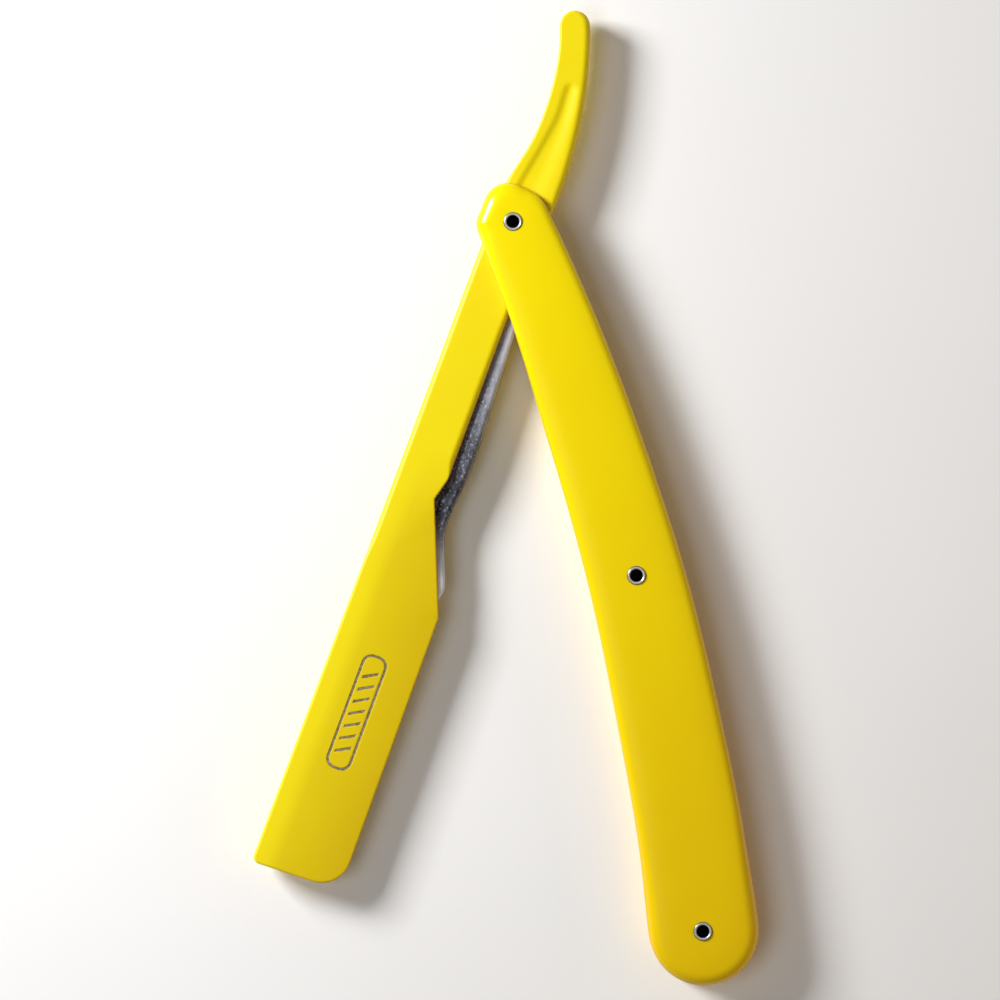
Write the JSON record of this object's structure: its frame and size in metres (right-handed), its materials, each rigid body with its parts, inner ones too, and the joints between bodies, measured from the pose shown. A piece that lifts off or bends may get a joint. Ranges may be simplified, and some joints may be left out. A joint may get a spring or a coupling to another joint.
{
  "type": "straight razor",
  "caption": "Folding straight razor for replaceable half blades, with a slit yellow arm, a swing-out steel blade clamp and a two-scale plastic handle.",
  "frame": {"origin": "on the pivot axis, half way between the two scales", "axes": "+X along the handle from the pivot to the tail, +Y towards the handle's convex back, +Z out of the front scale along the pivot rivet"},
  "size_m": [0.1655, 0.0917, 0.0105],
  "materials": {
    "scale_plastic": "high gloss yellow, softly rounded edges",
    "spacer_plastic": "satin yellow",
    "arm_coating": "gloss yellow coating",
    "clamp_steel": "dark rough steel, polished on its outer edge",
    "stud_steel": "bright turned steel",
    "rivet_nickel": "bright nickel plate",
    "washer_nylon": "natural nylon"
  },
  "bodies": {
    "handle": {"front_scale": "scale_plastic", "rear_scale": "scale_plastic", "tail_spacer": "spacer_plastic", "middle_spacer": "spacer_plastic", "pivot_rivet": "rivet_nickel", "middle_rivet": "rivet_nickel", "tail_rivet": "rivet_nickel", "pivot_rivet_washer": "rivet_nickel", "middle_rivet_washer": "rivet_nickel", "tail_rivet_washer": "rivet_nickel", "front_pivot_washer": "washer_nylon", "rear_pivot_washer": "washer_nylon"},
    "arm": {"blade_arm": "arm_coating"},
    "clamp": {"blade_clamp": "clamp_steel", "blade_studs": "stud_steel"}
  },
  "joints": [
    {"name": "arm_pivot", "type": "hinge", "parent": "handle", "child": "arm", "pos_m": [0, 0, 0], "axis": [0, 0, 1], "range_deg": [-314.8, 27.8]},
    {"name": "clamp_swing", "type": "hinge", "parent": "arm", "child": "clamp", "pos_m": [0, 0, 0], "axis": [0, 0, 1], "range_deg": [0, 26]}
  ]
}
